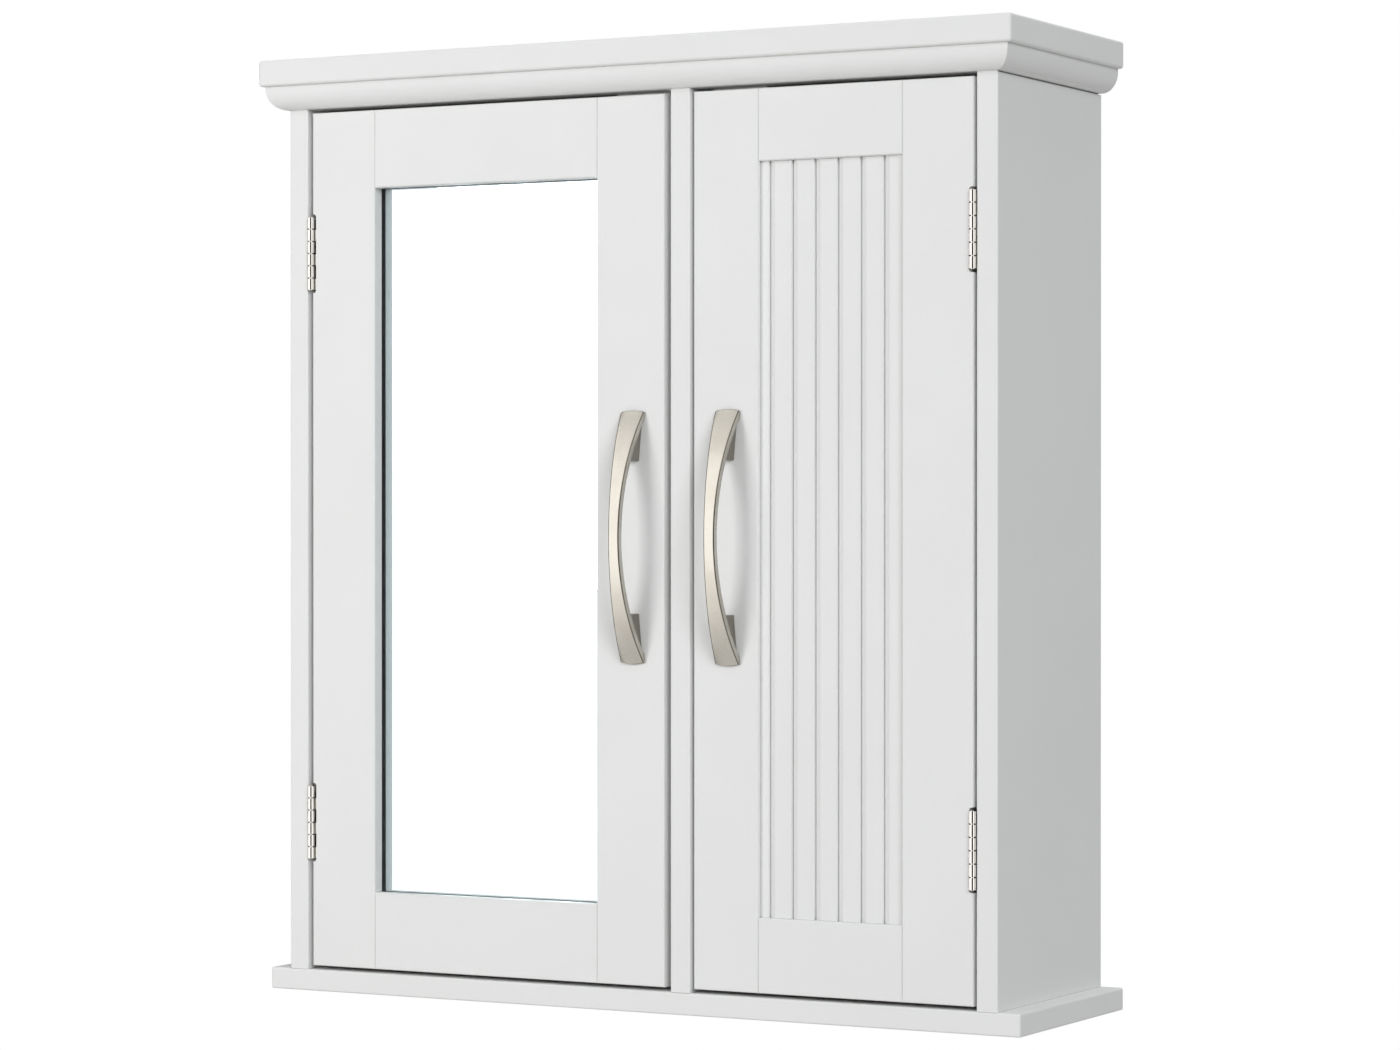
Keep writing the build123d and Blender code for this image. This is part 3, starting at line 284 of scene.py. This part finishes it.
def ferrite(name):
    """Sintered magnet: dark, grainy, with the odd bright chip."""
    f = Finish(name)
    grains = f.noise(1800.0, detail=4.0, roughness=0.7)
    chips = f.between(f.spots(700.0), 0.0, 0.16, 0.35, 0.0)
    tone = f.mix(chips, (0.045, 0.045, 0.05), (0.30, 0.30, 0.32))
    f.set(
        Base_Color=tone,
        Roughness=f.between(grains, 0.3, 0.7, 0.45, 0.7),
        Normal=f.bump(grains, 0.05 * MM),
        Metallic=0.3,
    )
    return f.material


def beech_wood(name):
    """Beech with its grain along X, flecked with short darker rays."""
    f = Finish(name)
    bands = f.noise(1.0, detail=4.0, at=f.stretched(25.0, 500.0, 500.0))
    flecks = f.noise(1.0, detail=2.0, at=f.stretched(350.0, 1800.0, 1800.0))
    tone = f.mix(f.between(bands, 0.35, 0.65), (0.66, 0.46, 0.28), (0.56, 0.37, 0.21))
    tone = f.mix(f.between(flecks, 0.6, 0.72, 0.0, 0.7), tone, (0.36, 0.21, 0.11))
    f.set(
        Base_Color=tone,
        Roughness=f.between(bands, 0.3, 0.7, 0.5, 0.65),
        Normal=f.bump(flecks, 0.06 * MM),
    )
    return f.material


def clear_glass(name):
    """The front and edges of the mirror's plate, with the slight green of thick glass."""
    f = Finish(name)
    smears = f.noise(14.0, detail=4.0, at=f.stretched(1.0, 1.0, 0.35))
    f.set(
        Base_Color=f.mix(f.between(smears, 0.3, 0.7, 0.0, 0.5), (0.955, 0.985, 0.985), (0.945, 0.98, 0.98)),
        Roughness=f.between(smears, 0.55, 0.8, 0.0, 0.02),
        Normal=f.bump(f.noise(18.0, 1.0), 0.002 * MM),
        Transmission_Weight=1.0,
        IOR=1.52,
    )
    return f.material


def silvering(name):
    """The silvered back of the mirror, with a little haze."""
    f = Finish(name)
    haze = f.noise(30.0, detail=3.0)
    f.set(
        Base_Color=f.mix(f.between(haze, 0.4, 0.7, 0.0, 0.5), (0.80, 0.87, 0.90), (0.78, 0.86, 0.89)),
        Metallic=1.0,
        Roughness=f.between(haze, 0.5, 0.8, 0.0, 0.015),
        Normal=f.bump(haze, 0.001 * MM),
    )
    return f.material


back_middle_y = (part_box("back_panel")[0].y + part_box("back_panel")[1].y) / 2
backing_skin_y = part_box("mirror_backing")[0].y + 0.4 * MM
PULL_LAY = (2600.0, 2600.0, 900.0)      # rubbed along the pull
HARDWARE_LAY = (900.0, 900.0, 500.0)
CAST_LAY = (900.0, 900.0, 900.0)        # no direction

FINISHES = {
    "white_painted_board": paint("white_paint", (0.845, 0.845, 0.842), (0.825, 0.825, 0.818), 0.42),
    "white_shelf_board": paint("white_shelf_foil", (0.86, 0.86, 0.852), (0.835, 0.835, 0.825), 0.36),
    "white_back_board": hardboard(
        "back_hardboard", back_middle_y, (0.83, 0.83, 0.82), (0.42, 0.29, 0.18), (0.27, 0.17, 0.10)
    ),
    "brown_hardboard": hardboard(
        "backing_hardboard", backing_skin_y, (0.62, 0.60, 0.56), (0.40, 0.27, 0.16), (0.25, 0.16, 0.09)
    ),
    "mirror": silvering("mirror_silver"),
    "satin_nickel": metal(
        "satin_nickel", (0.66, 0.63, 0.57), (0.56, 0.52, 0.45), 0.22, 0.34, PULL_LAY, 0.008 * MM, 0.4
    ),
    # painted reflection: a near-black copy of the nickel for the pulls' bevels, in place of the dark
    # surroundings they reflect
    "nickel_bevel_painted_dark": metal(
        "nickel_bevel_painted_dark", (0.20, 0.185, 0.16), (0.13, 0.12, 0.105), 0.25, 0.4, PULL_LAY, 0.006 * MM
    ),
    # painted shade: a darker, rougher copy of the nickel for the pulls' feet, which stand in shade beside the
    # door
    "nickel_foot_painted_shade": metal(
        "nickel_foot_painted_shade", (0.36, 0.34, 0.30), (0.26, 0.24, 0.21), 0.35, 0.5, PULL_LAY, 0.01 * MM
    ),
    "nickel_plated_steel": metal(
        "bright_nickel", (0.80, 0.78, 0.745), (0.70, 0.67, 0.62), 0.06, 0.14, HARDWARE_LAY, 0.003 * MM
    ),
    "zinc_plated_steel": zinc_plate("zinc_plate"),
    "zinc_alloy": metal(
        "die_cast_zinc", (0.55, 0.56, 0.57), (0.42, 0.43, 0.44), 0.4, 0.6, CAST_LAY, 0.03 * MM
    ),
    "white_plastic": moulded_plastic("white_plastic", (0.80, 0.80, 0.78)),
    "magnet": ferrite("ferrite"),
    "beech": beech_wood("beech"),
}

for node_name, node in frame["nodes"].items():
    node.data.materials.clear()
    node.data.materials.append(FINISHES[SLOT_OF[node_name]])

# ---------------------------------------------------------------- pieces


def new_piece(name, mesh, node_name, materials=None, smooth_angle=35.0):
    """A finished mesh as a piece that stands for a CAD node, rides on its body and has its slot's finish."""
    mesh.shade_smooth()
    mesh.set_sharp_from_angle(angle=math.radians(smooth_angle))
    for material in materials or [FINISHES[SLOT_OF[node_name]]]:
        mesh.materials.append(material)
    piece = bpy.data.objects.new(name, mesh)
    bpy.context.scene.collection.objects.link(piece)
    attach(piece, frame["nodes"][node_name]["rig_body"])
    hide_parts(node_name)
    return piece


def loft(name, rings):
    """A closed mesh through rings of points, with a face over each end."""
    bm = bmesh.new()
    rows = [[bm.verts.new(point) for point in ring] for ring in rings]
    for row, following in zip(rows, rows[1:]):
        for i in range(len(row)):
            j = (i + 1) % len(row)
            bm.faces.new((row[i], row[j], following[j], following[i]))
    bm.faces.new(list(reversed(rows[0])))
    bm.faces.new(rows[-1])
    bmesh.ops.recalc_face_normals(bm, faces=bm.faces)
    mesh = bpy.data.meshes.new(name)
    bm.to_mesh(mesh)
    bm.free()
    return mesh


def joined(name, meshes):
    """One watertight mesh from several that overlap."""
    parts = [bpy.data.objects.new(f"{name}_part_{i}", mesh) for i, mesh in enumerate(meshes)]
    for part in parts:
        bpy.context.scene.collection.objects.link(part)
    for part in parts[1:]:
        union = parts[0].modifiers.new("union", "BOOLEAN")
        union.operation = "UNION"
        union.object = part
    bpy.context.view_layer.update()
    mesh = bpy.data.meshes.new_from_object(parts[0].evaluated_get(bpy.context.evaluated_depsgraph_get()))
    mesh.name = name
    for part in parts:
        bpy.data.objects.remove(part)
    return mesh


HANDLE_STRAP_T = 4.4 * MM
HANDLE_BEVEL = 0.7 * MM                 # across the front face
BEVEL_PATH = ((0.12, 0.44), (0.0, 0.62))    # in from the side and back from the front, in bevels
HANDLE_BACK_ROUND = 0.5 * MM
ROUND_PATH = ((0.0, 1.0), (0.3, 0.3), (1.0, 0.0))    # in from the side and up from the back, in roundings
FACE_POINTS = (0.6, 0.2)                # points across each half of the front and back, in half widths
HANDLE_TIP_CORNER = 0.6 * MM
HANDLE_WAIST = 3.7 * MM                 # half the width at the middle
HANDLE_TIP_T = 1.2 * MM
HANDLE_CROWN = 0.9 * MM                 # how far the middle of each tip stands past its corners
CROWN_POWER = 24                        # keeps the crown to the last few rings
HANDLE_STATIONS = 120
FOOT_FROM = 48.0 * MM                   # middle of the handle to the inner end of a foot
FOOT_FROM_TIP = 3.0 * MM
FOOT_INSET = 1.7 * MM
FOOT_STEPS = 12
PAINTED_DARK_BEVEL = 1                        # places in the handle's list of materials: the bevels' painted dark reflection, then the feet's painted shade
PAINTED_SHADE_FOOT = 2


def handle(name, node_name, door_y):
    """A bowed strap with bevelled front edges, narrow in the middle and flared to its tips, on two feet."""
    low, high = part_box(node_name)
    centre_x = (low.x + high.x) / 2
    centre_z = (low.z + high.z) / 2
    half = (high.z - low.z) / 2
    tip = (high.x - low.x) / 2
    out = door_y - low.y
    rise = out - HANDLE_TIP_T
    bow_r = (half ** 2 + rise ** 2) / (2 * rise)
    corner = half - HANDLE_CROWN
    flare = tip - HANDLE_WAIST
    side_r = (corner ** 2 + flare ** 2) / (2 * flare)

    def half_width(z):
        """The concave side of the strap, drawn in at the very tip for its rounded corner."""
        wide = HANDLE_WAIST + side_r - math.sqrt(side_r ** 2 - min(abs(z), corner) ** 2)
        past = max(0.0, abs(z) - (corner - HANDLE_TIP_CORNER)) / HANDLE_TIP_CORNER
        return wide - HANDLE_TIP_CORNER * (1 - math.sqrt(max(0.0, 1 - min(past, 1.0) ** 2)))

    def height(z, radius):
        return out - bow_r + math.sqrt(max(radius ** 2 - z ** 2, 0.0))

    def strap_ring(share):
        z = share * corner
        wide = half_width(z)
        front = height(z, bow_r)
        back = max(0.0, height(z, bow_r - HANDLE_STRAP_T))
        bevel = min(HANDLE_BEVEL, 0.6 * (front - back))
        soft = min(HANDLE_BACK_ROUND, 0.3 * (front - back))
        profile = [(wide - bevel, front)]
        profile += [(wide - x * bevel, front - y * bevel) for x, y in BEVEL_PATH]
        profile += [(wide - x * soft, back + y * soft) for x, y in ROUND_PATH]
        mirrored = [(-x, h) for x, h in reversed(profile)]
        steps = sorted([*FACE_POINTS, *(-step for step in FACE_POINTS)])
        points = [(step * (wide - bevel), front) for step in steps] + profile
        points += [(-step * (wide - soft), back) for step in steps] + mirrored
        crown = HANDLE_CROWN * abs(share) ** CROWN_POWER
        ring = []
        for x, h in points:
            past_corner = math.copysign(crown * (1 - (x / wide) ** 2), share)
            ring.append(Vector((centre_x + x, door_y - h, centre_z + z + past_corner)))
        return ring

    def foot_ring(z, toward):
        wide = half_width(z) - FOOT_INSET
        top = height(z, bow_r - HANDLE_STRAP_T / 2)
        corners = [(-wide, 0.0), (wide, 0.0), (wide, top), (-wide, top)]
        return [Vector((centre_x + x, door_y - h, centre_z + toward * z)) for x, h in corners]

    shares = [math.sin(math.pi / 2 * (2 * i / HANDLE_STATIONS - 1)) for i in range(HANDLE_STATIONS + 1)]
    foot_to = half - FOOT_FROM_TIP
    foot_steps = [FOOT_FROM + (foot_to - FOOT_FROM) * i / FOOT_STEPS for i in range(FOOT_STEPS + 1)]
    meshes = [loft("strap", [strap_ring(share) for share in shares])]
    meshes += [loft("foot", [foot_ring(z, toward) for z in foot_steps]) for toward in (-1, 1)]
    pull = joined(name, meshes)
    # bevel faces get the painted dark reflection, and the feet's faces the painted shade
    for face in pull.polygons:
        z = face.center.z - centre_z
        wide = half_width(z)
        depth = height(z, bow_r) - (door_y - face.center.y)
        beside = abs(face.center.x - centre_x)
        sideways = abs(face.normal.x) > 0.25
        if sideways and beside > wide - HANDLE_BEVEL and depth < 0.65 * HANDLE_BEVEL:
            face.material_index = PAINTED_DARK_BEVEL
        elif abs(z) > FOOT_FROM - MM and beside < wide - 0.5 * FOOT_INSET and depth > 1.2 * HANDLE_BEVEL:
            face.material_index = PAINTED_SHADE_FOOT
    finishes = [FINISHES["satin_nickel"], FINISHES["nickel_bevel_painted_dark"], FINISHES["nickel_foot_painted_shade"]]
    return new_piece(name, pull, node_name, finishes, smooth_angle=25.0)


mirror_door_front_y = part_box("mirror_door_latch_stile")[0].y
panel_door_front_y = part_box("panel_door_latch_stile")[0].y
handle("left_pull", "mirror_door_handle", mirror_door_front_y)
handle("right_pull", "panel_door_handle", panel_door_front_y)

SILVER_CLEARANCE = 0.05 * MM            # in front of the backing board, so that the two don't share a face


def mirror_plate(name, node_name, arris):
    """The mirror: a glass plate with ground edges, and silver on its back."""
    low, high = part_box(node_name)
    high.y -= SILVER_CLEARANCE
    bm = bmesh.new()
    corners = [(x, y, z) for x in (low.x, high.x) for y in (low.y, high.y) for z in (low.z, high.z)]
    bmesh.ops.convex_hull(bm, input=[bm.verts.new(c) for c in corners])
    bmesh.ops.dissolve_limit(bm, angle_limit=math.radians(1), verts=bm.verts, edges=bm.edges)
    bmesh.ops.bevel(bm, geom=list(bm.edges), offset=arris, segments=2, affect="EDGES")
    for face in bm.faces:
        face.material_index = 1 if face.calc_center_median().y > high.y - 0.2 * arris else 0
    bmesh.ops.recalc_face_normals(bm, faces=bm.faces)
    mesh = bpy.data.meshes.new(name)
    bm.to_mesh(mesh)
    bm.free()
    return new_piece(name, mesh, node_name, [clear_glass("mirror_glass_front"), FINISHES["mirror"]], 20.0)


mirror_plate("mirror_plate", "mirror_glass", 0.4 * MM)

# ---------------------------------------------------------------- studio

low_corner, high_corner = cad_box
middle = (low_corner + high_corner) / 2
FLOOR_DROP = 1.4                        # below the cabinet, which hangs
FLOOR_RADIUS = 9.0


def floor():
    """A round pale floor that fades out at its rim."""
    bm = bmesh.new()
    bmesh.ops.create_circle(bm, cap_ends=True, segments=96, radius=FLOOR_RADIUS)
    mesh = bpy.data.meshes.new("floor")
    bm.to_mesh(mesh)
    bm.free()
    piece = bpy.data.objects.new("floor", mesh)
    piece.location = (0.0, 0.0, low_corner.z - FLOOR_DROP)
    piece.visible_glossy = False
    bpy.context.scene.collection.objects.link(piece)
    f = Finish("pale_floor")
    grain = f.noise(6.0, detail=5.0)
    f.set(
        Base_Color=f.mix(grain, (0.80, 0.79, 0.77), (0.78, 0.77, 0.75)),
        Roughness=f.between(grain, 0.3, 0.7, 0.6, 0.75),
        Normal=f.bump(f.noise(120.0, 3.0), 0.2 * MM),
    )
    length = f.add("ShaderNodeVectorMath", operation="LENGTH")
    f.feed(length.inputs[0], f.place)
    f.set(Alpha=f.between(length.outputs["Value"], 0.35 * FLOOR_RADIUS, 0.95 * FLOOR_RADIUS, 1.0, 0.0))
    mesh.materials.append(f.material)


REFLECTED = 1.5                         # how bright the white studio is in polished parts
DARK_AZIMUTH = math.radians(20.0)       # middle of the dark place in it, right of straight in front
DARK_HALF = math.radians(22.0)
HIDDEN_LIGHT = 0.02                     # what is left in the dark place
BEHIND_LIGHT = 0.15                     # what is left beside and behind the cabinet
FILL = 0.165                            # even light from the horizon and below, and three times that overhead


def studio_world():
    """White all round. Polished and clear parts see a white studio that is dimmer above, below and behind,
    with a dark place in front. Everything else gets an even, slightly cool fill."""
    world = bpy.data.worlds.new("studio")
    world.use_nodes = True
    tree = world.node_tree
    direction = tree.nodes.new("ShaderNodeTexCoord").outputs["Generated"]
    rays = tree.nodes.new("ShaderNodeLightPath").outputs

    def background(colour, strength):
        node = tree.nodes.new("ShaderNodeBackground")
        node.inputs["Color"].default_value = (*colour, 1.0)
        node.inputs["Strength"].default_value = strength
        return node

    def maths(operation, a, b):
        node = tree.nodes.new("ShaderNodeMath")
        node.operation = operation
        for socket, value in zip(node.inputs, (a, b)):
            if isinstance(value, float):
                socket.default_value = value
            else:
                tree.links.new(value, socket)
        return node.outputs[0]

    def mapped(value, start, end, low, high):
        node = tree.nodes.new("ShaderNodeMapRange")
        node.interpolation_type = "SMOOTHSTEP"
        tree.links.new(value, node.inputs["Value"])
        for name, number in (("From Min", start), ("From Max", end), ("To Min", low), ("To Max", high)):
            node.inputs[name].default_value = number
        return node.outputs["Result"]

    def choose(factor, otherwise, chosen):
        node = tree.nodes.new("ShaderNodeMixShader")
        for socket, value in zip(node.inputs, (factor, otherwise, chosen)):
            tree.links.new(value, socket)
        return node.outputs[0]

    split = tree.nodes.new("ShaderNodeSeparateXYZ")
    tree.links.new(direction, split.inputs[0])
    above = mapped(split.outputs["Z"], 0.4, 0.97, 1.0, 0.5)
    below = mapped(split.outputs["Z"], -0.85, -0.15, 0.45, 1.0)
    overhead = maths("MULTIPLY", above, below)
    behind = mapped(split.outputs["Y"], -0.30, -0.10, 1.0, BEHIND_LIGHT)
    facing = tree.nodes.new("ShaderNodeVectorMath")
    facing.operation = "DOT_PRODUCT"
    tree.links.new(direction, facing.inputs[0])
    facing.inputs[1].default_value = (math.sin(DARK_AZIMUTH), -math.cos(DARK_AZIMUTH), 0.0)
    dark_from, dark_to = math.cos(1.25 * DARK_HALF), math.cos(0.8 * DARK_HALF)
    lit = mapped(facing.outputs["Value"], dark_from, dark_to, 1.0, HIDDEN_LIGHT)
    reflected = background((1.0, 0.99, 0.975), 1.0)
    strength = maths("MULTIPLY", maths("MULTIPLY", maths("MULTIPLY", overhead, lit), behind), REFLECTED)
    tree.links.new(strength, reflected.inputs["Strength"])
    fill = background((0.975, 0.995, 1.0), FILL)
    tree.links.new(mapped(split.outputs["Z"], 0.1, 0.95, FILL, 3.0 * FILL), fill.inputs["Strength"])
    white = background((1.0, 1.0, 1.0), 1.0)
    polished = maths("MAXIMUM", rays["Is Glossy Ray"], rays["Is Transmission Ray"])
    unseen = choose(polished, fill.outputs[0], reflected.outputs[0])
    shown = choose(rays["Is Camera Ray"], unseen, white.outputs[0])
    tree.links.new(shown, tree.nodes["World Output"].inputs["Surface"])
    bpy.context.scene.world = world


def softbox(name, azimuth, elevation, distance, size, power, colour):
    """A square area light turned to the cabinet's middle. Azimuth 0 is straight in front, 90 on the right."""
    a, e = math.radians(azimuth), math.radians(elevation)
    toward = Vector((math.sin(a) * math.cos(e), -math.cos(a) * math.cos(e), math.sin(e)))
    light = bpy.data.lights.new(name, "AREA")
    light.size = size
    light.energy = power
    light.color = colour
    lamp = bpy.data.objects.new(name, light)
    lamp.location = middle + toward * distance
    lamp.rotation_euler = toward.to_track_quat("Z", "Y").to_euler()
    lamp.visible_glossy = False
    bpy.context.scene.collection.objects.link(lamp)


floor()
studio_world()
for softbox_settings in (               # name, azimuth, elevation, distance, size, power, colour
    ("left_key", -25.0, 8.0, 1.8, 0.65, 11.6, (1.0, 0.997, 0.985)),
    ("right_key", 48.0, 20.0, 4.5, 1.9, 84.0, (0.965, 0.99, 1.0)),
    ("low_fill", 0.0, -50.0, 3.0, 2.0, 8.5, (1.0, 1.0, 1.0)),
    ("top_fill", 180.0, 70.0, 3.0, 2.0, 32.0, (1.0, 1.0, 1.0)),
):
    softbox(*softbox_settings)

CAMERA_PLACE = (1.2661, -2.3783, -0.2375)
CAMERA_TURN = 28.657                    # degrees left of straight ahead
CAMERA_DIP = 0.299                      # degrees below the horizon
camera_data = bpy.data.cameras.new("camera")
camera_data.lens = 104.69
camera_data.sensor_width = 36.0
camera_data.shift_y = 0.00977
camera = bpy.data.objects.new("camera", camera_data)
camera.location = CAMERA_PLACE
camera.rotation_euler = (math.radians(90.0 - CAMERA_DIP), 0.0, math.radians(CAMERA_TURN))
bpy.context.scene.collection.objects.link(camera)
bpy.context.scene.camera = camera
bpy.context.scene.view_settings.view_transform = "Standard"
